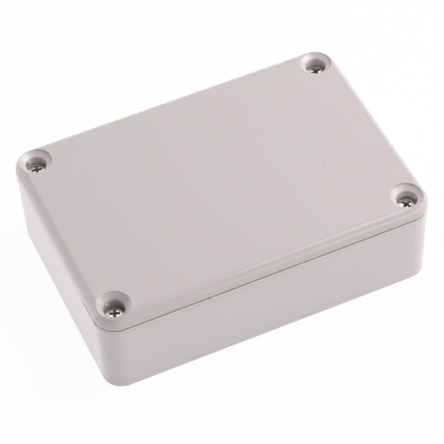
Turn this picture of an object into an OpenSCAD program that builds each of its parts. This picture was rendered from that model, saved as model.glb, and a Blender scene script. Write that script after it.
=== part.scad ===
// Small sealed enclosure in painted die-cast aluminium: a drafted base, a shallow lid with a cord gasket,
// and four captive lid screws sunk in funnel-shaped corner recesses.
// Millimetres, Z up, origin at the middle of the underside of the base, X along the long side.

/* [Enclosure] */
// Overall length, across the lower lip of the lid
box_length = 100; // [80:1:160]
// Overall width, across the lower lip of the lid
box_width = 70; // [56:1:120]
// Overall height, from the underside to the top of the lid
box_height = 30; // [27:0.5:60]
// Radius of the upright corners, at the lower lip of the lid
corner_radius = 6.5; // [5.5:0.1:7.5]
// Thickness of the base walls at the rim band
wall = 2.7; // [2.3:0.1:3]
// Thickness of the floor
floor_thickness = 2.6; // [2:0.1:4]
// Draft of the base walls, inside and out, in degrees
base_draft = 1; // [0.5:0.1:2]
// Radius along the bottom edge of the base
foot_radius = 1; // [0.4:0.1:2]
// Radius along the inside of the floor
floor_round = 1.5; // [0.5:0.1:2.5]
// Height of the band along the rim of the base
rim_band = 1.2; // [0.8:0.1:3]
// How far that band stands out past the walls
rim_step = 0.15; // [0.05:0.05:0.3]
// Width of the bevel along the outer edge of the rim of the base
rim_bevel = 0.1; // [0.1:0.05:0.4]

/* [Lid] */
// Height of the lid above the rim of the base, with the parting gap
lid_height = 4.4; // [4:0.1:6]
// How far the lower lip of the lid stands out past the base
lid_overhang = 0.1; // [0.05:0.05:0.4]
// Draft of the sides of the lid, in degrees
lid_draft = 3; // [1:0.5:5]
// Radius along the top edge of the lid
lid_edge_radius = 2.6; // [1:0.1:3]
// Thickness of the lid's panel, inside the sealing band
lid_panel = 2.4; // [2:0.1:3]
// Bevel along the lower lip of the lid
lip_bevel = 0.2; // [0.1:0.1:0.5]
// Open gap between the lid's lip and the rim of the base
parting_gap = 0.35; // [0.1:0.05:0.5]

/* [Seal] */
// Width of the ridge on the rim that presses into the gasket
ridge_width = 0.9; // [0.7:0.1:1.2]
// Height of that ridge above the rim
ridge_height = 1.1; // [0.8:0.1:1.4]
// Width of the gasket groove in the lid
groove_width = 2; // [1.6:0.1:2.2]
// Depth of the gasket groove from the lid's lip
groove_depth = 2.2; // [1.8:0.1:2.4]
// Side clearance of the gasket in its groove
gasket_clearance = 0.05; // [0.02:0.01:0.15]
// Width of the flat land between the groove and the lid's panel
seal_land = 1.2; // [0.8:0.1:1.6]
// Radius that turns the seal from a wall round a screw column
seal_bend = 3; // [2.6:0.1:4]

/* [Lid screws] */
// Distance from the lid's lips to each screw axis
screw_inset = 6.1; // [5.8:0.1:6.6]
// Nominal diameter of the screw thread
thread_d = 3; // [2.5:0.1:3]
// Length of the screws under the head
screw_length = 12; // [11:0.5:14]
// Length of the threaded end of the screws
thread_length = 4.4; // [3.5:0.1:5]
// Diameter of the plain shank above the thread
shank_d = 2.4; // [2:0.1:2.4]
// Diameter of the screw heads
head_d = 5.4; // [5:0.1:5.6]
// Height of the screw heads
head_height = 2; // [1.6:0.1:2.4]
// Radius of the crown across the screw heads
head_crown = 20; // [5:1:30]
// Radius that rounds the edge of the crown
head_round = 0.5; // [0.3:0.1:0.8]
// Depth of the screw heads below the top of the lid
head_depth = 3.7; // [3.4:0.1:5]
// Length across the cross recess in the screw heads
cross_span = 3; // [2.4:0.1:3.2]
// Width of each arm of the cross recess
cross_arm = 0.8; // [0.6:0.1:1]
// Depth of the cross recess in the middle
cross_depth = 1.5; // [1.2:0.1:1.7]
// Depth of the cross recess at the tips of its arms
cross_tip_depth = 0.45; // [0.35:0.05:0.8]
// Angle at which the cross of the front left screw rests, in degrees
front_left_turn = -21; // [-45:1:45]
// Angle of the front right screw
front_right_turn = 28; // [-45:1:45]
// Angle of the back left screw
back_left_turn = -12; // [-45:1:45]
// Angle of the back right screw
back_right_turn = 8; // [-45:1:45]
// Radial running clearance of each thread in its hole
thread_clearance = 0.05; // [0.02:0.01:0.1]

/* [Screw recesses] */
// Diameter of the bore that holds each screw head
recess_bore_d = 5.9; // [5.7:0.1:6.2]
// Diameter of the funnel at the top of the lid
recess_rim_d = 9.3; // [8.6:0.1:9.5]
// Depth of the funnel, from the top of the lid to the bore
recess_funnel_depth = 1.5; // [1.2:0.1:2]
// Depth of the upright step at the rim of the funnel
recess_step = 0.5; // [0.3:0.05:0.6]
// Radius that rounds the rim of the step
recess_rim_round = 0.2; // [0.1:0.05:0.25]
// Radius that rounds the throat from funnel to bore
recess_throat_round = 0.5; // [0.3:0.05:0.8]
// Depth of the step in the front left recess, which is dressed smoother than the others
soft_step = 0.25; // [0.25:0.05:0.6]
// Radius of the throat in the front left recess
soft_throat_round = 0.9; // [0.3:0.05:1.4]
// Thickness of the seat under each screw head
seat_thickness = 1.6; // [1.2:0.1:2]
// Diameter of the clearance hole in each seat
seat_hole_d = 3.4; // [3.2:0.1:3.6]
// Wall of the lid's corner bosses round the recess bores
boss_wall = 1.3; // [1:0.05:1.4]
// Gap between the lid's bosses and their pockets in the base
boss_clearance = 0.25; // [0.15:0.05:0.35]
// Land between each boss pocket and the ridge round it
pocket_land = 0.45; // [0.4:0.05:0.6]

/* [Captive washers] */
// Outer diameter of the washers that keep the screws in the lid
washer_d = 5.2; // [4.8:0.1:5.2]
// Thickness of those washers
washer_thickness = 0.8; // [0.6:0.1:1.2]
// Radial clearance of each washer on its shank
washer_bore_clearance = 0.1; // [0.05:0.01:0.12]
// Clearance round and under each washer in its counterbore
washer_clearance = 0.2; // [0.15:0.05:0.3]

/* [Board bosses] */
// Spacing of the circuit-board bosses along the length
board_spacing_x = 66; // [40:1:66]
// Spacing of the circuit-board bosses along the width
board_spacing_y = 46; // [24:1:46]
// Diameter of the bosses at the top
board_boss_d = 6; // [5:0.5:7]
// Height of the bosses above the floor
board_boss_height = 4; // [3:0.5:8]
// Widening of the bosses towards the floor, on the diameter
board_boss_taper = 0.4; // [0.2:0.1:0.8]
// Diameter of the tapped holes in the bosses
board_hole_d = 2.5; // [2:0.1:3]
// Depth of the tapped holes in the bosses
board_hole_depth = 5; // [3:0.5:5]

/* [Colours] */
// Paint of the castings
paint_colour = "#cdc6c5"; // [#cdc6c5:Light grey, #8f9294:Mid grey, #3a3b3d:Black]
// Stainless steel of the screws
steel_colour = "#b9b7b4"; // [#b9b7b4:Stainless, #4a4a4c:Blackened]
// Rubber of the gasket
rubber_colour = "#2f3032"; // [#2f3032:Black, #77797b:Grey]
// Nylon of the captive washers
nylon_colour = "#e6e2d6"; // [#e6e2d6:Natural, #2b2b2d:Black]

/* [Hidden] */
$fn = 64;

// Small overshoot that keeps a cut from ending flush with a face
cut = 1;
// How far a round stands past the leaning side that it ends, so that the two cross rather than just touch
round_lap = 0.002;

// Heights
rim_z = box_height - lid_height;
lip_z = rim_z + parting_gap;
groove_top_z = lip_z + groove_depth;
ridge_top_z = rim_z + ridge_height;
head_top_z = box_height - head_depth;
seat_z = head_top_z - head_height;
boss_foot_z = seat_z - seat_thickness;
screw_tip_z = seat_z - screw_length;
thread_top_z = screw_tip_z + thread_length;
washer_top_z = thread_top_z + washer_thickness;
counterbore_z = thread_top_z - washer_clearance;
tapped_hole_z = screw_tip_z - thread_d;

// Plan sizes
base_length = box_length - 2 * lid_overhang;
base_width = box_width - 2 * lid_overhang;
base_corner_radius = corner_radius - lid_overhang;
screw_x = box_length / 2 - screw_inset;
screw_y = box_width / 2 - screw_inset;
boss_radius = recess_bore_d / 2 + boss_wall;
pocket_radius = boss_radius + boss_clearance;

// The middle line of the seal: its inset from the lid's lips, and its radius round each screw
seal_inset = lid_overhang + wall - ridge_width / 2;
seal_column_radius = pocket_radius + pocket_land + ridge_width / 2;

// Middles of the bends between a long or short wall and the column of the back right screw.
// Each bend runs past the wall and the column by bend_lap, so that the outlines cross rather than just touch.
bend_lap = 0.02;
bend_reach = seal_column_radius + seal_bend - bend_lap;
long_bend_y = box_width / 2 - seal_inset - seal_bend + bend_lap;
short_bend_x = box_length / 2 - seal_inset - seal_bend + bend_lap;
long_bend = [screw_x - sqrt(pow(bend_reach, 2) - pow(screw_y - long_bend_y, 2)), long_bend_y];
short_bend = [short_bend_x, screw_y - sqrt(pow(bend_reach, 2) - pow(screw_x - short_bend_x, 2))];

// Screw places, as the signs of x and y
FRONT_LEFT = [-1, -1];
FRONT_RIGHT = [1, -1];
BACK_LEFT = [-1, 1];
BACK_RIGHT = [1, 1];
CORNERS = [FRONT_LEFT, FRONT_RIGHT, BACK_LEFT, BACK_RIGHT];
// The same corners in turning order, from the one between +X and +Y
TURNING = [BACK_RIGHT, BACK_LEFT, FRONT_LEFT, FRONT_RIGHT];

// Puts its children on the screw axis of one corner
module at_screw(corner) {
  translate([corner.x * screw_x, corner.y * screw_y, 0]) children();
}

// Carries a section round a rectangle with round corners: a quarter turn at each, and straight runs between.
// The section is drawn with the axis of the corner at x = 0 and z along y. The middle is filled in between.
module around_rectangle(length, width, radius, bottom, top) {
  x = length / 2 - radius;
  y = width / 2 - radius;
  for (quarter = [0:3]) {
    corner = TURNING[quarter];
    translate([corner.x * x, corner.y * y, 0]) rotate(90 * quarter) rotate_extrude(angle = 90) children();
  }
  rotate([90, 0, 90]) linear_extrude(2 * x, center = true) both_sides(y, bottom, top) children();
  rotate([90, 0, 0]) linear_extrude(2 * y, center = true) both_sides(x, bottom, top) children();
}

// A section on the right, its mirror image on the left, and the block between them
module both_sides(offset_x, bottom, top) {
  translate([offset_x, 0]) children();
  mirror([1, 0]) translate([offset_x, 0]) children();
  translate([-offset_x, bottom]) square([2 * offset_x, top - bottom]);
}

// Half of an upright section, from x = 0 to a side that leans in towards the bottom and ends in a round
module drafted_side(top_x, bottom, top, draft, foot) {
  foot_x = top_x - (top - bottom) * tan(draft);
  round_x = foot_x + foot * tan(draft) - foot / cos(draft) + round_lap;
  round_z = bottom + foot;
  polygon([
    [0, bottom],
    [round_x, bottom],
    [round_x, round_z],
    [round_x - round_lap + foot * cos(draft), round_z - foot * sin(draft)],
    [top_x, top],
    [0, top]
  ]);
  translate([round_x, round_z]) circle(foot);
}

// Section of the base at a corner: drafted side, rounded foot, and a rim band with a sloping underside
// and a bevelled top edge
module base_section() {
  band_z = rim_z - rim_band;
  difference() {
    union() {
      drafted_side(base_corner_radius - rim_step, 0, rim_z, base_draft, foot_radius);
      polygon([
        [0, band_z - base_corner_radius],
        [base_corner_radius, band_z],
        [base_corner_radius, rim_z],
        [0, rim_z]
      ]);
    }
    translate([base_corner_radius, rim_z])
      polygon([[-rim_bevel, 0], [0, -rim_bevel], [rim_bevel, 0], [0, rim_bevel]]);
  }
}

// Section of the lid at a corner: bevelled lip, drafted side and rounded top edge
module lid_section() {
  edge_z = box_height - lid_edge_radius;
  side_x = corner_radius - (edge_z - lip_z) * tan(lid_draft);
  edge_x = side_x - lid_edge_radius / cos(lid_draft) + round_lap;
  intersection() {
    union() {
      polygon([
        [0, lip_z],
        [corner_radius - lip_bevel, lip_z],
        [corner_radius - lip_bevel * tan(lid_draft), lip_z + lip_bevel],
        [
          edge_x - round_lap + lid_edge_radius * cos(lid_draft),
          edge_z + lid_edge_radius * sin(lid_draft)
        ],
        [edge_x, edge_z],
        [edge_x, box_height],
        [0, box_height]
      ]);
      translate([edge_x, edge_z]) circle(lid_edge_radius);
    }
    translate([0, lip_z]) square([corner_radius, box_height - lip_z]);
  }
}

// The area inside the seal's middle line, moved inwards by shift: a rectangle along the walls, less the screw
// columns and the corner blocks that the round bends leave behind them
module seal_area(shift) {
  x = box_length / 2 - seal_inset - shift;
  y = box_width / 2 - seal_inset - shift;
  lip = [box_length, box_width] / 2;
  screw = [screw_x, screw_y];
  difference() {
    square([2 * x, 2 * y], center = true);
    for (corner = CORNERS)
      scale([corner.x, corner.y]) {
        translate(screw) circle(seal_column_radius + shift);
        difference() {
          polygon([screw, long_bend, [long_bend.x, lip.y], lip, [lip.x, short_bend.y], short_bend]);
          translate(long_bend) circle(seal_bend - shift);
          translate(short_bend) circle(seal_bend - shift);
        }
      }
  }
}

// A band of even width along the seal's middle line
module seal_band(width) {
  difference() {
    seal_area(-width / 2);
    seal_area(width / 2);
  }
}

// The hollow of the base: the area inside the seal, between drafted walls with a round along the floor
module cavity() {
  top = rim_z + cut;
  spread = cut * tan(base_draft);
  depth = base_corner_radius;
  x = box_length / 2 - seal_inset - ridge_width / 2 - depth;
  y = box_width / 2 - seal_inset - ridge_width / 2 - depth;
  intersection() {
    translate([0, 0, floor_thickness]) linear_extrude(top - floor_thickness) seal_area(ridge_width / 2);
    rotate([90, 0, 90])
      linear_extrude(box_length, center = true)
        both_sides(y, floor_thickness, top)
          drafted_side(depth + spread, floor_thickness, top, base_draft, floor_round);
    rotate([90, 0, 0])
      linear_extrude(box_width, center = true)
        both_sides(x, floor_thickness, top)
          drafted_side(depth + spread, floor_thickness, top, base_draft, floor_round);
  }
}

// Room in the base for one corner: the boss pocket, the washer's counterbore and the tapped hole
module screw_column_cut() {
  translate([0, 0, boss_foot_z]) cylinder(h = ridge_top_z - boss_foot_z + cut, r = pocket_radius);
  translate([0, 0, counterbore_z])
    cylinder(h = boss_foot_z - counterbore_z + cut, r = washer_d / 2 + washer_clearance);
  translate([0, 0, tapped_hole_z]) cylinder(h = counterbore_z - tapped_hole_z + cut, d = thread_d);
}

// Puts its children on each circuit-board boss
module at_board_bosses() {
  for (corner = CORNERS)
    translate([corner.x * board_spacing_x / 2, corner.y * board_spacing_y / 2, floor_thickness]) children();
}

module base() {
  color(paint_colour)
    difference() {
      union() {
        difference() {
          around_rectangle(base_length, base_width, base_corner_radius, 0, rim_z) base_section();
          cavity();
        }
        translate([0, 0, rim_z]) linear_extrude(ridge_height) seal_band(ridge_width);
        at_board_bosses()
          cylinder(h = board_boss_height, d1 = board_boss_d + board_boss_taper, d2 = board_boss_d);
      }
      for (corner = CORNERS)
        at_screw(corner) screw_column_cut();
      at_board_bosses()
        translate([0, 0, board_boss_height - board_hole_depth])
          cylinder(h = board_hole_depth + cut, d = board_hole_d);
    }
}

// One screw recess, as a cut: a rim with an upright step, a funnel, a rounded throat and a bore to the seat
module screw_recess(step, throat_round) {
  bore = recess_bore_d / 2;
  rim = recess_rim_d / 2;
  run = rim - bore;
  drop = recess_funnel_depth - step;
  slope = norm([run, drop]);
  // Unit vector square to the funnel's side, into the metal
  inward = [drop, -run] / slope;
  throat = [bore + throat_round, -recess_funnel_depth + throat_round * (drop - slope) / run];
  flare = rim + recess_rim_round;
  seat = seat_z - box_height;
  translate([0, 0, box_height])
    rotate_extrude()
      difference() {
        polygon([
          [0, seat],
          [bore, seat],
          [bore, throat.y],
          throat - throat_round * inward,
          [rim, -step],
          [rim, -recess_rim_round],
          [flare, 0],
          [flare, cut],
          [0, cut]
        ]);
        translate([flare, -recess_rim_round]) circle(recess_rim_round);
        translate(throat) circle(throat_round + round_lap);
      }
  translate([0, 0, boss_foot_z - cut]) cylinder(h = seat_z - boss_foot_z + 2 * cut, d = seat_hole_d);
}

module lid() {
  color(paint_colour)
    difference() {
      union() {
        difference() {
          around_rectangle(box_length, box_width, corner_radius, lip_z, box_height) lid_section();
          translate([0, 0, lip_z - cut])
            linear_extrude(box_height - lid_panel - lip_z + cut) seal_area(groove_width / 2 + seal_land);
          translate([0, 0, lip_z - cut]) linear_extrude(groove_depth + cut) seal_band(groove_width);
        }
        for (corner = CORNERS)
          at_screw(corner)
            translate([0, 0, boss_foot_z]) cylinder(h = lip_z - boss_foot_z + cut, r = boss_radius);
      }
      at_screw(FRONT_LEFT) screw_recess(soft_step, soft_throat_round);
      for (corner = [FRONT_RIGHT, BACK_LEFT, BACK_RIGHT])
        at_screw(corner) screw_recess(recess_step, recess_throat_round);
    }
}

module lid_gasket() {
  color(rubber_colour)
    translate([0, 0, ridge_top_z])
      linear_extrude(groove_top_z - ridge_top_z) seal_band(groove_width - 2 * gasket_clearance);
}

// Half of the section of a screw head: an upright side, and a crown with a rounded edge
module screw_head_section() {
  edge_x = head_d / 2 - head_round;
  crown_z = head_top_z - head_crown;
  reach = head_crown - head_round + round_lap;
  edge_z = crown_z + sqrt(pow(reach, 2) - pow(edge_x, 2));
  translate([0, seat_z]) square([head_d / 2, edge_z - seat_z]);
  translate([edge_x, edge_z]) circle(head_round);
  intersection() {
    translate([0, crown_z]) circle(head_crown);
    translate([0, seat_z]) square([edge_x * head_crown / reach, head_height + cut]);
  }
}

// The cross recess, as a cut: two arms whose floors fall from the tips to the middle
module cross_recess() {
  for (arm = [0, 90])
    rotate(arm)
      rotate([90, 0, 0])
        linear_extrude(cross_arm, center = true)
          polygon([
            [-cross_span / 2, cut],
            [-cross_span / 2, -cross_tip_depth],
            [-cross_arm / 2, -cross_depth],
            [cross_arm / 2, -cross_depth],
            [cross_span / 2, -cross_tip_depth],
            [cross_span / 2, cut]
          ]);
}

// One lid screw: a pan head with a cross recess, a plain shank and a threaded end with a bevel
module lid_screw(corner, turn) {
  thread = thread_d / 2 - thread_clearance;
  tip_bevel = (thread_d - shank_d) / 2;
  color(steel_colour)
    at_screw(corner)
      difference() {
        rotate_extrude() {
          polygon([
            [0, screw_tip_z],
            [thread - tip_bevel, screw_tip_z],
            [thread, screw_tip_z + tip_bevel],
            [thread, thread_top_z],
            [shank_d / 2, thread_top_z],
            [shank_d / 2, seat_z],
            [0, seat_z]
          ]);
          screw_head_section();
        }
        translate([0, 0, head_top_z]) rotate(turn) cross_recess();
      }
}

// One washer that rides on a screw's shank, above its thread, and keeps the screw in the lid
module captive_washer(corner) {
  color(nylon_colour)
    at_screw(corner)
      translate([0, 0, thread_top_z])
        difference() {
          cylinder(h = washer_thickness, d = washer_d);
          translate([0, 0, -cut])
            cylinder(h = washer_thickness + 2 * cut, r = shank_d / 2 + washer_bore_clearance);
        }
}

base();
lid();
lid_gasket();
lid_screw(FRONT_LEFT, front_left_turn);  // lid_screw_front_left
lid_screw(FRONT_RIGHT, front_right_turn);  // lid_screw_front_right
lid_screw(BACK_LEFT, back_left_turn);  // lid_screw_back_left
lid_screw(BACK_RIGHT, back_right_turn);  // lid_screw_back_right
captive_washer(FRONT_LEFT);  // captive_washer_front_left
captive_washer(FRONT_RIGHT);  // captive_washer_front_right
captive_washer(BACK_LEFT);  // captive_washer_back_left
captive_washer(BACK_RIGHT);  // captive_washer_back_right
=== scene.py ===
"""Looks of a small die-cast aluminium enclosure: satin paint outside, bare casting inside, a rubber cord gasket,
and steel lid screws with nylon keeper washers. Metres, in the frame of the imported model."""

import bpy
import numpy as np
from mathutils import Matrix, Vector


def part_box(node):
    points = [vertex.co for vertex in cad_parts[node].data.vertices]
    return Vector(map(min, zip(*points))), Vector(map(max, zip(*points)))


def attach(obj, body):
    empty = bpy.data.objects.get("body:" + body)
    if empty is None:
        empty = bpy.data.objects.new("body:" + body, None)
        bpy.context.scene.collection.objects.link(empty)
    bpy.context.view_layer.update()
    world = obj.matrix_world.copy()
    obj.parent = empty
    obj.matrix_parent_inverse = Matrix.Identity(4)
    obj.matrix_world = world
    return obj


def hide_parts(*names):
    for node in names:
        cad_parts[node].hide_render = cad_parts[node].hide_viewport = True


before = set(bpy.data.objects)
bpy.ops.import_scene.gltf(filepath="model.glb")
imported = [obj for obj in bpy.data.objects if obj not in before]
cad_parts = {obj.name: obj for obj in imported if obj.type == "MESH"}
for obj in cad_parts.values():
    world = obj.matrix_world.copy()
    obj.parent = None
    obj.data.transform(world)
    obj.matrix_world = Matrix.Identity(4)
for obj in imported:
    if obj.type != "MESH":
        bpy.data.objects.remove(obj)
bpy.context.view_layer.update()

MM = 0.001
CORNERS = ("front_left", "front_right", "back_left", "back_right")


# Sizes of what is drawn finer here than in the solids

THREAD_PITCH = 0.5 * MM
THREAD_DEPTH = 0.3 * MM
THREAD_RADIUS = 1.45 * MM
THREAD_LENGTH = 4.4 * MM
THREAD_CREST_FLAT = 1.15
THREAD_TIP_DROP = 0.1 * MM
SHANK_RADIUS = 1.2 * MM
SHANK_FILLET = 0.2 * MM
HEAD_HEIGHT = 2.0 * MM
HEAD_ROUND = 0.5 * MM
HEAD_CROWN = 20.0 * MM
HEAD_FOOT_BEVEL = 0.1 * MM
CROSS_HALF_SPAN = 1.5 * MM
CROSS_HALF_ARM = 0.4 * MM
CROSS_TIP_DEPTH = 0.45 * MM
CROSS_DEPTH = 1.5 * MM
CROSS_WALL = 0.06 * MM
CROSS_TURN = {"front_left": -21, "front_right": 28, "back_left": -12, "back_right": 8}

SEAL_INSET = 2.35 * MM
SEAL_COLUMN_RADIUS = 5.4 * MM
SEAL_BEND = 3.0 * MM
GASKET_EDGE_ROUND = 0.35 * MM
GASKET_DENT = 0.12 * MM
GASKET_DENT_WIDTH = 0.9 * MM

WASHER_BORE_RADIUS = 1.3 * MM
WASHER_EDGE_ROUND = 0.18 * MM

# How finely the surfaces are stepped

SCREW_STEPS = 192
THREAD_ROWS_PER_TURN = 16
HEAD_ROUND_STEPS = 10
HEAD_CROWN_STEPS = 72
HEAD_POLE_GAP = 0.004
SHANK_FILLET_STEPS = 6
WASHER_STEPS = 96
SEAL_BEND_STEPS = 12
SEAL_COLUMN_STEPS = 24
GASKET_DENT_STEPS = 17


def screw_axis(corner):
    """The upright axis of one lid screw, as x and y, from the middle of its solid."""
    low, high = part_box(f"lid_screw_{corner}")
    return (low.x + high.x) / 2, (low.y + high.y) / 2


AXES = {corner: screw_axis(corner) for corner in CORNERS}
LID_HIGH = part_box("lid")[1]
BASE_LOW, BASE_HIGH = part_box("base")


class Wire:
    """An output socket in a material's nodes. Arithmetic on wires and numbers adds Math nodes."""

    def __init__(self, tree, socket=None):
        self.tree = tree
        self.socket = socket

    def node(self, kind, settings=None, inputs=None, output=0):
        """Adds a node of any kind: its settings first, then the values or wires of its sockets, by name or number."""
        made = self.tree.nodes.new(kind)
        for name, value in (settings or {}).items():
            setattr(made, name, value)
        for name, value in (inputs or {}).items():
            if isinstance(value, Wire):
                self.tree.links.new(value.socket, made.inputs[name])
            else:
                made.inputs[name].default_value = value
        return Wire(self.tree, made.outputs[output])

    def math(self, operation, *values):
        """One Math node on these values."""
        return self.node("ShaderNodeMath", {"operation": operation}, dict(enumerate(values)))

    def __add__(self, other):
        return self.math("ADD", self, other)

    def __sub__(self, other):
        return self.math("SUBTRACT", self, other)

    def __rsub__(self, other):
        return self.math("SUBTRACT", other, self)

    def __mul__(self, other):
        return self.math("MULTIPLY", self, other)

    __radd__ = __add__
    __rmul__ = __mul__

    def below(self, edge, softness):
        """1 where the value lies under edge and 0 above it, with a ramp of that softness between."""
        settings = {"interpolation_type": "SMOOTHSTEP"}
        inputs = {"Value": self, "From Min": edge - softness / 2, "From Max": edge + softness / 2}
        return 1 - self.node("ShaderNodeMapRange", settings, inputs)

    def mix(self, low, high):
        """A colour between low and high by this wire as the factor."""
        return self.node("ShaderNodeMix", {"data_type": "RGBA"}, {0: self, 6: low, 7: high}, 2)

    def noise(self, size, detail=2.0, roughness=0.5):
        """Noise with features of about this size, read at this wire as the place."""
        inputs = {"Vector": self, "Scale": 1 / size, "Detail": detail, "Roughness": roughness}
        return self.node("ShaderNodeTexNoise", None, inputs)

    def axis(self, letter):
        """One coordinate of a place."""
        return self.node("ShaderNodeSeparateXYZ", None, {0: self}, "XYZ".index(letter))

    def vector(self, operation, *values):
        """One Vector Math node on this place and these values."""
        return self.node("ShaderNodeVectorMath", {"operation": operation}, dict(enumerate((self, *values))))

    def length(self):
        """Distance of a place from the origin."""
        return self.node("ShaderNodeVectorMath", {"operation": "LENGTH"}, {0: self}, "Value")

    def stretched(self, factors):
        """A place with each coordinate multiplied, so that a pattern runs along an axis."""
        return self.vector("MULTIPLY", factors)

    def distance(self, point):
        """Distance of a place from a point."""
        return self.vector("SUBTRACT", point).length()


def linear(red, green, blue):
    """A linear colour from eight-bit screen values, by the sRGB curve."""
    screen = np.array([red, green, blue]) / 255
    light = np.where(screen <= 0.04045, screen / 12.92, ((screen + 0.055) / 1.055) ** 2.4)
    return (*(float(value) for value in light), 1.0)


def new_material(name):
    """An empty material with its wire builder and its Object coordinates."""
    material = bpy.data.materials.new(name)
    material.use_nodes = True
    material.node_tree.nodes.clear()
    build = Wire(material.node_tree)
    place = build.node("ShaderNodeTexCoord", None, None, "Object")
    return material, build, place


def close_material(build, surface):
    """Joins a shader to the material's output."""
    output = build.tree.nodes.new("ShaderNodeOutputMaterial")
    build.tree.links.new(surface.socket, output.inputs["Surface"])


def bump(build, height, strength, depth):
    """A surface normal shaken by a height, where a height of 1 stands for that depth."""
    return build.node("ShaderNodeBump", None, {"Height": height, "Strength": strength, "Distance": depth})


# Colours, each pair the two tones between which a noise mixes

BASE_PAINT = linear(212, 204, 204), linear(210, 201, 201)
LID_PAINT = linear(201, 193, 193), linear(199, 190, 190)
SPECK = linear(128, 120, 118)
# Painted light: a lighter tone down the screw recesses.
BORE_PAINTED_LIGHT = linear(232, 224, 222)
# Painted shade: a darker line along the shadow under the small step of the base's rim.
STEP_PAINTED_SHADE = linear(150, 142, 140)
# Painted shade: a dark tone along the parting line on the left side, where the gap lies in shadow.
GAP_PAINTED_SHADE = linear(62, 56, 54)
BARE = linear(172, 172, 173), linear(196, 196, 196)
STEEL = linear(206, 203, 200), linear(232, 230, 227)
# Grime and painted shade: a darker tone in the floors of the screw heads' cross recesses.
STEEL_GRIME_AND_SHADE = linear(150, 143, 140)
RUBBER = linear(38, 39, 41), linear(58, 59, 61)
NYLON = linear(226, 221, 208), linear(236, 233, 224)

# Sizes and depths of the patterns

CLOUD_SIZE = 18 * MM
GRAIN_SIZE = 0.3 * MM
GRAIN_SHARE = 0.2
PEEL_SIZE = 1.1 * MM
PEEL_DEPTH = 0.03 * MM
FLOW_SIZE = 4 * MM
FLOW_STRETCH = 1.0, 1.0, 0.3
STREAK_SIZE = 0.15 * MM
STREAK_STRETCH = 1.0, 1.0, 6.0
STREAK_DEPTH = 0.01 * MM
STEEL_CLOUD_SIZE = 1.5 * MM
GRIME_AND_SHADE_FROM = 0.35
GRIME_AND_SHADE_FADE = 0.4
BLOOM_SIZE = 2.5 * MM
RUBBER_GRAIN_SIZE = 0.12 * MM
RUBBER_GRAIN_DEPTH = 0.02 * MM
NYLON_CLOUD_SIZE = 1.2 * MM
NYLON_CLOUD_DEPTH = 0.02 * MM

# How rough the finishes are, each as the least and what its pattern adds

PAINT_ROUGHNESS, PAINT_ROUGHNESS_PEEL = 0.18, 0.08
BARE_ROUGHER, BARE_ROUGHER_FLOW = 0.22, 0.14
BARE_METALLIC = 0.55
STEEL_ROUGHNESS, STEEL_ROUGHNESS_STREAK, STEEL_ROUGHNESS_GRIME = 0.16, 0.12, 0.3
RUBBER_ROUGHNESS, RUBBER_ROUGHNESS_BLOOM = 0.62, 0.2
NYLON_ROUGHNESS, NYLON_ROUGHNESS_CLOUD = 0.4, 0.12

# Where the paint of the castings ends, where painted light and painted shade lie on it, and where it has specks

CORNER_RADIUS = 6.5 * MM
PAINTED_RIM = 4.8 * MM
PAINTED_LIP = 5.2 * MM
MIDDLE_OF_FLOOR = 1.3 * MM
MIDDLE_OF_PANEL = 28.3 * MM
PAINTED_BORE = 3.3 * MM
RECESS_RADIUS = 4.7 * MM
RECESS_HALFWAY = 28.8 * MM
RECESS_FADE = 2.0 * MM
RIM_STEP = 24.33 * MM
RIM_STEP_WIDTH = 0.3 * MM
GAP_MIDDLE = 25.74 * MM
GAP_SHADE_WIDTH = 1.1 * MM
GAP_SHADE_END = -20.3 * MM
GAP_SHADE_FADE = 3 * MM
GAP_SHADE_INSET = 0.25 * MM
GAP_SHADE_INSET_FADE = 0.4 * MM
PAINT_EDGE_RAGGED = 0.4 * MM
PAINT_EDGE_SIZE = 1.5 * MM
PAINT_EDGE_FADE = 0.3 * MM
LEVEL_FADE = 0.2 * MM
CRISP_FADE = 0.1 * MM
MIDDLE_FADE = 1.0 * MM
SEAT_THICKNESS = 1.0 * MM
UNDER_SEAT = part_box("lid_screw_back_right")[1].z - HEAD_HEIGHT - SEAT_THICKNESS
SPECK_CELL = 5 * MM
SPECK_RADIUS = 0.1 * MM
SPECK_SHADE = 0.8
SCATTER_SHADE = 0.5
# Painted shade: a dark spot on the left wall of the back left screw bore.
BORE_SHADE_SPOT = (-45.7 * MM, 31.2 * MM, 27.2 * MM), 0.8 * MM
RIM_NICK = (-18.7 * MM, BASE_LOW.y, BASE_HIGH.z - 1.1 * MM), 0.35 * MM
LID_SPECKS = ((-10.1 * MM, 7.4 * MM, 0.16 * MM), (28.8 * MM, -7.7 * MM, 0.2 * MM), (44.4 * MM, 5.5 * MM, 0.18 * MM))


def core_distance(place):
    """Distance of a place, seen from above, from the rectangle between the middles of the four upright rounds."""
    core = (LID_HIGH.x - CORNER_RADIUS, LID_HIGH.y - CORNER_RADIUS, 0)
    beyond = place.vector("ABSOLUTE").vector("SUBTRACT", core).vector("MAXIMUM", (0, 0, 0))
    return beyond.stretched((1, 1, 0)).length()


def bore_distance(place):
    """Distance of a place, seen from above, from the nearest screw axis."""
    return place.vector("ABSOLUTE").vector("SUBTRACT", (*AXES["back_right"], 0)).stretched((1, 1, 0)).length()


def within_paint(place, painted_from):
    """1 within a distance from the core rectangle, to a ragged edge as the spray leaves it."""
    ragged = core_distance(place) + PAINT_EDGE_RAGGED * place.noise(PAINT_EDGE_SIZE)
    return ragged.below(painted_from, PAINT_EDGE_FADE)


def bare_in_base(place):
    """1 on the inside of the base: within the walls and above the middle of the floor."""
    return within_paint(place, PAINTED_RIM) * (1 - place.axis("Z").below(MIDDLE_OF_FLOOR, LEVEL_FADE))


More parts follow.
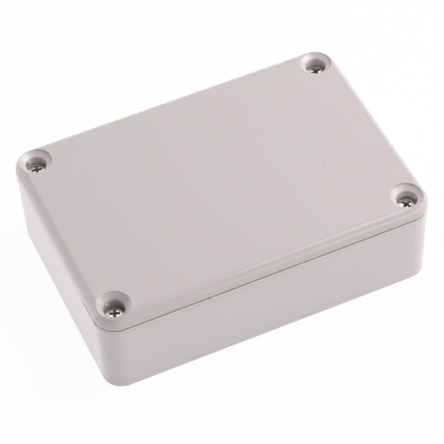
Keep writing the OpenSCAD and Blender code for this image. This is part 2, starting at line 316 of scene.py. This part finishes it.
def bare_in_lid(place):
    """1 on the inside of the lid: within the lip and under the middle of the panel, but not in the screw bores."""
    height = place.axis("Z")
    inside = within_paint(place, PAINTED_LIP) * height.below(MIDDLE_OF_PANEL, LEVEL_FADE)
    bore = bore_distance(place).below(PAINTED_BORE, CRISP_FADE) * (1 - height.below(UNDER_SEAT, CRISP_FADE))
    return inside * (1 - bore)


def level_line(place, height, width):
    """1 along a level line of that width at a height."""
    above = place.axis("Z") - height
    return above.math("ABSOLUTE", above).below(width / 2, CRISP_FADE)


def painted_shade_under_step(place):
    """1 along the small step under the base's rim, where painted shade stands for its shadow."""
    return level_line(place, RIM_STEP, RIM_STEP_WIDTH)


def painted_shade_in_gap(place):
    """1 on the two edges of the parting line, on the left side next to the front corner, where painted shade darkens
    the gap.
    """
    left = place.axis("X").below(BASE_LOW.x + GAP_SHADE_INSET, GAP_SHADE_INSET_FADE)
    front = place.axis("Y").below(GAP_SHADE_END, GAP_SHADE_FADE)
    return level_line(place, GAP_MIDDLE, GAP_SHADE_WIDTH) * left * front


def painted_light_in_bores(place):
    """Rises to 1 down the screw recesses, where a lighter tone stands for painted light, but not in the front left one.
    """
    recess = bore_distance(place).below(RECESS_RADIUS, CRISP_FADE) * place.axis("Z").below(RECESS_HALFWAY, RECESS_FADE)
    front_left = place.axis("X").below(0, MIDDLE_FADE) * place.axis("Y").below(0, MIDDLE_FADE)
    return recess * (1 - front_left)


def specks(place, spots):
    """1 on spots at known places, each a speck in the paint or a painted shade, and on a sparse scatter of smaller,
    fainter specks.
    """
    scatter = place.node("ShaderNodeTexVoronoi", None, {"Vector": place, "Scale": 1 / SPECK_CELL}, "Distance")
    mask = SCATTER_SHADE * (scatter * SPECK_CELL).below(SPECK_RADIUS, SPECK_RADIUS)
    for point, radius in spots:
        mask = mask + place.distance(point).below(radius, radius)
    return mask.math("MINIMUM", mask, 1.0)


def casting_material(name, paint, tints, bare, spots):
    """Satin paint in two close tones on a die casting, with tints of painted light and painted shade, each a colour and
    a function that is 1 where it lies, specks, and bare cast metal where bare(place) is 1."""
    material, build, place = new_material(name)
    cloud = place.noise(CLOUD_SIZE)
    grain = place.noise(GRAIN_SIZE, detail=1.0)
    peel = place.noise(PEEL_SIZE, roughness=0.4)
    coat = (cloud * (1 - GRAIN_SHARE) + grain * GRAIN_SHARE).mix(*paint)
    for tint, lies in tints:
        coat = lies(place).mix(coat, tint)
    coat = (SPECK_SHADE * specks(place, spots)).mix(coat, SPECK)
    flow = place.stretched(FLOW_STRETCH).noise(FLOW_SIZE, detail=4.0, roughness=0.6)
    metal = flow.mix(*BARE)
    mask = bare(place)
    rougher = mask * (BARE_ROUGHER + BARE_ROUGHER_FLOW * flow)
    surface = build.node("ShaderNodeBsdfPrincipled", None, {
        "Base Color": mask.mix(coat, metal),
        "Metallic": mask * BARE_METALLIC,
        "Roughness": PAINT_ROUGHNESS + PAINT_ROUGHNESS_PEEL * peel + rougher,
        "IOR": 1.5,
        "Normal": bump(build, peel + grain * 0.3, strength=0.25, depth=PEEL_DEPTH),
    })
    close_material(build, surface)
    return material


def steel_material():
    """Stainless steel, turned: fine level streaks, brighter and duller patches, and grime with painted shade in the
    cross.
    """
    material, build, place = new_material("turned_steel")
    streak = place.stretched(STREAK_STRETCH).noise(STREAK_SIZE)
    cloud = place.noise(STEEL_CLOUD_SIZE)
    depth = build.node("ShaderNodeAttribute", {"attribute_name": "recess"}, None, "Fac")
    grime_and_shade = 1 - depth.below(GRIME_AND_SHADE_FROM, GRIME_AND_SHADE_FADE)
    metal = cloud.mix(*STEEL)
    surface = build.node("ShaderNodeBsdfPrincipled", None, {
        "Base Color": grime_and_shade.mix(metal, STEEL_GRIME_AND_SHADE),
        "Metallic": 1.0,
        "Roughness": STEEL_ROUGHNESS + STEEL_ROUGHNESS_STREAK * streak + STEEL_ROUGHNESS_GRIME * grime_and_shade,
        "Normal": bump(build, streak, strength=0.15, depth=STREAK_DEPTH),
    })
    close_material(build, surface)
    return material


def rubber_material():
    """Soft black rubber with a dusty bloom."""
    material, build, place = new_material("gasket_rubber")
    bloom = place.noise(BLOOM_SIZE, detail=3.0)
    grain = place.noise(RUBBER_GRAIN_SIZE)
    surface = build.node("ShaderNodeBsdfPrincipled", None, {
        "Base Color": bloom.mix(*RUBBER),
        "Roughness": RUBBER_ROUGHNESS + RUBBER_ROUGHNESS_BLOOM * bloom,
        "Normal": bump(build, grain, strength=0.3, depth=RUBBER_GRAIN_DEPTH),
    })
    close_material(build, surface)
    return material


def nylon_material():
    """Natural nylon: off-white, a little cloudy."""
    material, build, place = new_material("natural_nylon")
    cloud = place.noise(NYLON_CLOUD_SIZE)
    surface = build.node("ShaderNodeBsdfPrincipled", None, {
        "Base Color": cloud.mix(*NYLON),
        "Roughness": NYLON_ROUGHNESS + NYLON_ROUGHNESS_CLOUD * cloud,
        "Normal": bump(build, cloud, strength=0.1, depth=NYLON_CLOUD_DEPTH),
    })
    close_material(build, surface)
    return material


def give(piece, material):
    """Puts one material on a piece, in place of what it had."""
    piece.data.materials.clear()
    piece.data.materials.append(material)


def grid_piece(name, points, faces, sharp_degrees=35):
    """A smooth mesh from points and face corners, with the edges sharper than an angle kept crisp."""
    mesh = bpy.data.meshes.new(name)
    mesh.from_pydata(points, [], faces)
    mesh.shade_smooth()
    mesh.set_sharp_from_angle(angle=np.radians(sharp_degrees))
    mesh.validate()
    piece = bpy.data.objects.new(name, mesh)
    bpy.context.scene.collection.objects.link(piece)
    return piece


def circle(angles):
    """Points on the unit circle at these angles."""
    return np.stack([np.cos(angles), np.sin(angles)], -1)


def round_rectangle(low_x, high_x, low_z, high_z, radius, steps=6):
    """Outline of a rectangle with round corners, in turning order from the right side, as x and z."""
    bend = np.linspace(0, np.pi / 2, steps)
    centres = ((high_x - radius, low_z + radius, -np.pi / 2), (high_x - radius, high_z - radius, 0),
               (low_x + radius, high_z - radius, np.pi / 2), (low_x + radius, low_z + radius, np.pi))
    return np.concatenate([(x, z) + radius * circle(start + bend) for x, z, start in centres])


def ring_quads(rows, columns, closed=False):
    """Corner numbers of the quads between neighbouring rows of a grid whose columns run round and close. Where the
    grid is closed, its last row joins its first as well."""
    row, column = np.meshgrid(np.arange(rows if closed else rows - 1), np.arange(columns), indexing="ij")
    after, beyond = (row + 1) % rows, (column + 1) % columns
    corners = (row * columns + column, row * columns + beyond, after * columns + beyond, after * columns + column)
    return np.stack(corners, -1).reshape(-1, 4).tolist()


def hoop_piece(name, points):
    """A closed hoop from a grid of section point by step along the path, both of which run round and close."""
    return grid_piece(name, points.reshape(-1, 3), ring_quads(*points.shape[:2], closed=True))


def turned_piece(name, radius, height, centre, angles):
    """A closed piece turned about an upright axis: radius and height are grids of row by angle, listed upwards,
    and the first and last rows close in a fan on the axis. Point = (r cos a, r sin a, z) + centre."""
    rows, columns = radius.shape
    x = centre[0] + radius * np.cos(angles)
    y = centre[1] + radius * np.sin(angles)
    shell = np.stack([x, y, height], -1).reshape(-1, 3)
    ends = np.array([[*centre, height[0].mean()], [*centre, height[-1].mean()]])
    around = np.arange(columns)
    following = (around + 1) % columns
    last = (rows - 1) * columns
    foot = np.stack([np.full(columns, rows * columns), following, around], -1)
    cap = np.stack([np.full(columns, rows * columns + 1), last + around, last + following], -1)
    faces = ring_quads(rows, columns) + foot.tolist() + cap.tolist()
    return grid_piece(name, np.concatenate([shell, ends]), faces)


def thread_rows(tip, angles):
    """Rows of the threaded end: the radius falls from the crest by a rounded vee whose phase is height over
    pitch less angle over a turn, inside a cone at the tip and a run-out at the top."""
    steps = int(THREAD_ROWS_PER_TURN * THREAD_LENGTH / THREAD_PITCH)
    height = np.linspace(tip, tip + THREAD_LENGTH, steps)[:, None] + 0 * angles
    phase = (height - tip) / THREAD_PITCH - angles / (2 * np.pi)
    vee = 0.5 - 0.5 * np.cos(2 * np.pi * phase)
    root = THREAD_RADIUS - THREAD_DEPTH
    cone = root - THREAD_TIP_DROP + (height - tip)
    runout = np.clip((tip + THREAD_LENGTH - height) / THREAD_PITCH, 0, 1)
    radius = root + THREAD_DEPTH * np.clip(THREAD_CREST_FLAT * vee, 0, 1) * runout
    return np.minimum(radius, cone), height


def cross_depth(x, y):
    """Depth of the cross recess below the top of the head: two arms crossing, whose floors fall from the tips to
    the middle, with steep walls."""
    depth = np.zeros_like(x)
    for along, across in ((x, y), (y, x)):
        wall = np.clip((CROSS_HALF_ARM - np.abs(across)) / CROSS_WALL + 0.5, 0, 1)
        tip = np.clip((CROSS_HALF_SPAN - np.abs(along)) / CROSS_WALL + 0.5, 0, 1)
        way = np.clip((np.abs(along) - CROSS_HALF_ARM) / (CROSS_HALF_SPAN - CROSS_HALF_ARM), 0, 1)
        floor = CROSS_DEPTH + (CROSS_TIP_DEPTH - CROSS_DEPTH) * way
        depth = np.maximum(depth, floor * wall * tip)
    return depth


def head_rows(seat, top, edge, angles, turn):
    """Rows of the pan head: a bevelled foot, an upright side, a round of radius q and a crown of radius c, cut by
    the cross recess. The round's middle lies c - q from the crown's, at a radius q short of the side."""
    middle = top - HEAD_CROWN
    reach = HEAD_CROWN - HEAD_ROUND
    inner = edge - HEAD_ROUND
    rise = np.arccos(inner / reach)
    bend = np.linspace(0, rise, HEAD_ROUND_STEPS)
    crown = np.linspace(rise, np.pi / 2 - HEAD_POLE_GAP, HEAD_CROWN_STEPS)[1:]
    round_height = middle + reach * np.sin(rise)
    radius = np.concatenate([[edge - HEAD_FOOT_BEVEL, edge], inner + HEAD_ROUND * np.cos(bend),
                             HEAD_CROWN * np.cos(crown)])
    height = np.concatenate([[seat, seat + HEAD_FOOT_BEVEL], round_height + HEAD_ROUND * np.sin(bend),
                             middle + HEAD_CROWN * np.sin(crown)])
    radius, height = radius[:, None] + 0 * angles, height[:, None] + 0 * angles
    depth = cross_depth(radius * np.cos(angles - turn), radius * np.sin(angles - turn))
    recess = np.clip(depth - (top - height), 0, None)
    return radius, height - recess, recess


def lid_screw(corner):
    """One lid screw as a single turned surface: tip, thread, shank, fillet, head and cross recess. Each point keeps
    its depth in the recess, over the full depth, as the attribute recess."""
    low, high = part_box(f"lid_screw_{corner}")
    angles = np.linspace(0, 2 * np.pi, SCREW_STEPS, endpoint=False)
    seat = high.z - HEAD_HEIGHT
    edge = (high.x - low.x) / 2
    thread_radius, thread_height = thread_rows(low.z, angles)
    bend = np.linspace(0, np.pi / 2, SHANK_FILLET_STEPS)
    shank_radius = np.concatenate([[SHANK_RADIUS], SHANK_RADIUS + SHANK_FILLET * (1 - np.cos(bend))])
    shank_height = np.concatenate([[low.z + THREAD_LENGTH], seat - SHANK_FILLET * (1 - np.sin(bend))])
    head_radius, head_height, recess = head_rows(seat, high.z, edge, angles, np.radians(CROSS_TURN[corner]))
    radius = np.concatenate([thread_radius, shank_radius[:, None] + 0 * angles, head_radius])
    height = np.concatenate([thread_height, shank_height[:, None] + 0 * angles, head_height])
    piece = turned_piece(f"cross_head_screw_{corner}", radius, height, AXES[corner], angles)
    depth = np.zeros(len(piece.data.vertices))
    depth[radius.size - recess.size:radius.size] = recess.ravel() / CROSS_DEPTH
    depth[-1] = recess[-1].mean() / CROSS_DEPTH
    piece.data.attributes.new("recess", "FLOAT", "POINT").data.foreach_set("value", depth)
    return piece


def keeper_washer(corner):
    """One nylon washer: a rectangle with round corners carried round the screw's axis."""
    low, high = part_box(f"captive_washer_{corner}")
    outline = round_rectangle(WASHER_BORE_RADIUS, (high.x - low.x) / 2, low.z, high.z, WASHER_EDGE_ROUND)
    angles = np.linspace(0, 2 * np.pi, WASHER_STEPS, endpoint=False)
    x, y = AXES[corner]
    radius, height = outline[:, 0][:, None], outline[:, 1][:, None]
    points = np.stack([x + radius * np.cos(angles), y + radius * np.sin(angles), height + 0 * angles], -1)
    return hoop_piece(f"keeper_washer_{corner}", points)


def seal_path():
    """Middle line of the seal and its outward normals, in turning order: along each wall, round a bend, round the
    inside of a screw column, and round a second bend. Worked out for one corner and mirrored to the others."""
    half_x, half_y = LID_HIGH.x - SEAL_INSET, LID_HIGH.y - SEAL_INSET
    screw = np.array([abs(value) for value in AXES["back_right"]])
    reach = SEAL_COLUMN_RADIUS + SEAL_BEND
    short = np.array([half_x - SEAL_BEND, 0.0])
    short[1] = screw[1] - np.sqrt(reach**2 - (screw[0] - short[0])**2)
    long = np.array([0.0, half_y - SEAL_BEND])
    long[0] = screw[0] - np.sqrt(reach**2 - (screw[1] - long[1])**2)
    to_short = np.arctan2(*(screw - short)[::-1])
    to_long = np.arctan2(*(screw - long)[::-1])
    first = circle(np.linspace(0, to_short, SEAL_BEND_STEPS))
    column = circle(np.linspace(to_short + np.pi, to_long + np.pi, SEAL_COLUMN_STEPS))[1:-1]
    second = circle(np.linspace(to_long, np.pi / 2, SEAL_BEND_STEPS))
    points = np.concatenate([short + SEAL_BEND * first, screw + SEAL_COLUMN_RADIUS * column, long + SEAL_BEND * second])
    normals = np.concatenate([first, -column, second])
    flips = ((1, 1, 1), (-1, 1, -1), (-1, -1, 1), (1, -1, -1))
    path = np.concatenate([(points * (x, y))[::order] for x, y, order in flips])
    outward = np.concatenate([(normals * (x, y))[::order] for x, y, order in flips])
    return path, outward


def cord_gasket():
    """The pressed cord: a round-cornered section, dented along its underside by the ridge, carried along the seal."""
    low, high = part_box("lid_gasket")
    half = LID_HIGH.x - SEAL_INSET
    half_width = high.x - half
    outline = round_rectangle(-half_width, half_width, low.z, high.z, GASKET_EDGE_ROUND)
    flat_half = half_width - GASKET_EDGE_ROUND
    across = np.linspace(-flat_half, flat_half, GASKET_DENT_STEPS)[1:-1]
    dent = GASKET_DENT * np.exp(-(2 * across / GASKET_DENT_WIDTH) ** 4)
    outline = np.concatenate([outline, np.stack([across, low.z + dent], -1)])
    path, outward = seal_path()
    flat = path + outline[:, 0][:, None, None] * outward
    points = np.concatenate([flat, np.broadcast_to(outline[:, 1][:, None, None], (*flat.shape[:2], 1))], -1)
    return hoop_piece("cord_gasket", points)


# The object

# The lid's spots: real specks on the panel, and the painted shade spot in the back left bore.
lid_spots = [((x, y, LID_HIGH.z), radius) for x, y, radius in LID_SPECKS] + [BORE_SHADE_SPOT]
base_tints = (STEP_PAINTED_SHADE, painted_shade_under_step), (GAP_PAINTED_SHADE, painted_shade_in_gap)
lid_tints = (BORE_PAINTED_LIGHT, painted_light_in_bores), (GAP_PAINTED_SHADE, painted_shade_in_gap)
give(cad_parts["base"], casting_material("painted_base", BASE_PAINT, base_tints, bare_in_base, [RIM_NICK]))
give(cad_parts["lid"], casting_material("painted_lid", LID_PAINT, lid_tints, bare_in_lid, lid_spots))

steel = steel_material()
nylon = nylon_material()
for corner in CORNERS:
    screw = lid_screw(corner)
    give(screw, steel)
    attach(screw, f"screw_{corner}")
    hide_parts(f"lid_screw_{corner}")
    washer = keeper_washer(corner)
    give(washer, nylon)
    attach(washer, f"washer_{corner}")
    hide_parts(f"captive_washer_{corner}")

gasket = cord_gasket()
give(gasket, rubber_material())
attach(gasket, "lid")
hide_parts("lid_gasket")


# The studio

FLOOR_SIZE = 6.0
FLOOR_DROP = 0.05 * MM
FLOOR_WHITE = linear(240, 240, 240)
SHOWN_WHITE = 0.95
AMBIENT = 0.17
HORIZON_TOP = 0.34
HORIZON_FADE = 0.12
SOFTBOX = 0.45, 0.45
SMALL_SOFTBOX = 0.3, 0.3
STRIP = 0.8, 0.1
NEAR, FAR = 0.8, 1.0


def shown_ray(build):
    """1 on rays from the camera, a glossy surface or a clear one, which see the plain white background."""
    camera_ray, glossy_ray, clear_ray = (
        build.node("ShaderNodeLightPath", None, None, kind)
        for kind in ("Is Camera Ray", "Is Glossy Ray", "Is Transmission Ray"))
    return build.math("MINIMUM", camera_ray + glossy_ray + clear_ray, 1.0)


def floor():
    """A wide pale floor that shows nearly white and keeps the object's shadow."""
    material, build, _ = new_material("pale_floor")
    matt = build.node("ShaderNodeBsdfDiffuse", None, {"Color": FLOOR_WHITE})
    white = build.node("ShaderNodeEmission", None, {"Color": (1, 1, 1, 1), "Strength": 1.0})
    share = shown_ray(build) * SHOWN_WHITE
    close_material(build, build.node("ShaderNodeMixShader", None, {0: share, 1: matt, 2: white}))
    half = FLOOR_SIZE / 2
    corners = [(-half, -half, -FLOOR_DROP), (half, -half, -FLOOR_DROP),
               (half, half, -FLOOR_DROP), (-half, half, -FLOOR_DROP)]
    piece = grid_piece("pale_floor", corners, [(0, 1, 2, 3)])
    give(piece, material)


def sky():
    """A studio that is white along the horizon and dims to an even level overhead. The white ends where the sine of
    the rise from the floor is HORIZON_TOP."""
    world = bpy.data.worlds.new("studio")
    world.use_nodes = True
    world.node_tree.nodes.clear()
    build = Wire(world.node_tree)
    rise = build.node("ShaderNodeTexCoord", None, None, "Generated").axis("Z")
    level = AMBIENT + (1 - AMBIENT) * rise.below(HORIZON_TOP, HORIZON_FADE)
    light = build.node("ShaderNodeBackground", None, {"Color": (1, 1, 1, 1), "Strength": level})
    output = world.node_tree.nodes.new("ShaderNodeOutputWorld")
    world.node_tree.links.new(light.socket, output.inputs["Surface"])
    bpy.context.scene.world = world


def lamp(name, turn, rise, distance, size, power, mirrored=True):
    """A soft lamp of that width and height that faces the object, at a turn about Z from the front and a rise from
    the floor. Where it isn't mirrored, glossy surfaces take its light but don't show it as a glint."""
    turn, rise = np.radians(turn), np.radians(rise)
    place = distance * Vector((np.sin(turn) * np.cos(rise), -np.cos(turn) * np.cos(rise), np.sin(rise)))
    light = bpy.data.lights.new(name, "AREA")
    light.shape = "RECTANGLE"
    light.size, light.size_y = size
    light.energy = power
    holder = bpy.data.objects.new(name, light)
    holder.location = place
    holder.rotation_euler = place.to_track_quat("Z", "Y").to_euler()
    holder.visible_glossy = mirrored
    bpy.context.scene.collection.objects.link(holder)


floor()
sky()
lamp("low_front_softbox", turn=30, rise=8, distance=NEAR, size=SOFTBOX, power=1.49)
lamp("high_right_softbox", turn=90, rise=50, distance=NEAR, size=SOFTBOX, power=3.69)
lamp("overhead_softbox", turn=60, rise=66, distance=NEAR, size=SMALL_SOFTBOX, power=1.02)
lamp("high_back_softbox", turn=158, rise=50, distance=NEAR, size=SOFTBOX, power=0.85)
lamp("low_left_softbox", turn=-120, rise=8, distance=NEAR, size=SOFTBOX, power=1.83, mirrored=False)
lamp("back_left_strip", turn=-150, rise=3.2, distance=FAR, size=STRIP, power=4.08, mirrored=False)


# The camera, at the photograph's viewing angle

CAMERA_TURN = np.radians(-21.75)
CAMERA_RISE = np.radians(49.13)
CAMERA_ROLL = np.radians(-3.39)
CAMERA_DISTANCE = 643.5 * MM
CAMERA_AIM = (0.34 * MM, -7.33 * MM)
SENSOR = 36.0
IMAGE_SIZE = 444
FOCAL_PIXELS = 2222.8


def camera():
    """A long lens that looks down on the box. The axes come from its turn about Z, its rise and its roll."""
    back = np.array([np.sin(CAMERA_TURN) * np.cos(CAMERA_RISE), -np.cos(CAMERA_TURN) * np.cos(CAMERA_RISE),
                     np.sin(CAMERA_RISE)])
    level = np.array([np.cos(CAMERA_TURN), np.sin(CAMERA_TURN), 0.0])
    upright = np.cross(back, level)
    right = np.cos(CAMERA_ROLL) * level + np.sin(CAMERA_ROLL) * upright
    up = np.cos(CAMERA_ROLL) * upright - np.sin(CAMERA_ROLL) * level
    place = CAMERA_DISTANCE * back - CAMERA_AIM[0] * right - CAMERA_AIM[1] * up
    matrix = np.eye(4)
    matrix[:3] = np.stack([right, up, back, place], -1)
    lens = bpy.data.cameras.new("camera")
    lens.sensor_width = SENSOR
    lens.lens = SENSOR * FOCAL_PIXELS / IMAGE_SIZE
    holder = bpy.data.objects.new("camera", lens)
    holder.matrix_world = Matrix(matrix.tolist())
    bpy.context.scene.collection.objects.link(holder)
    bpy.context.scene.camera = holder


camera()
bpy.context.scene.view_settings.view_transform = "Standard"
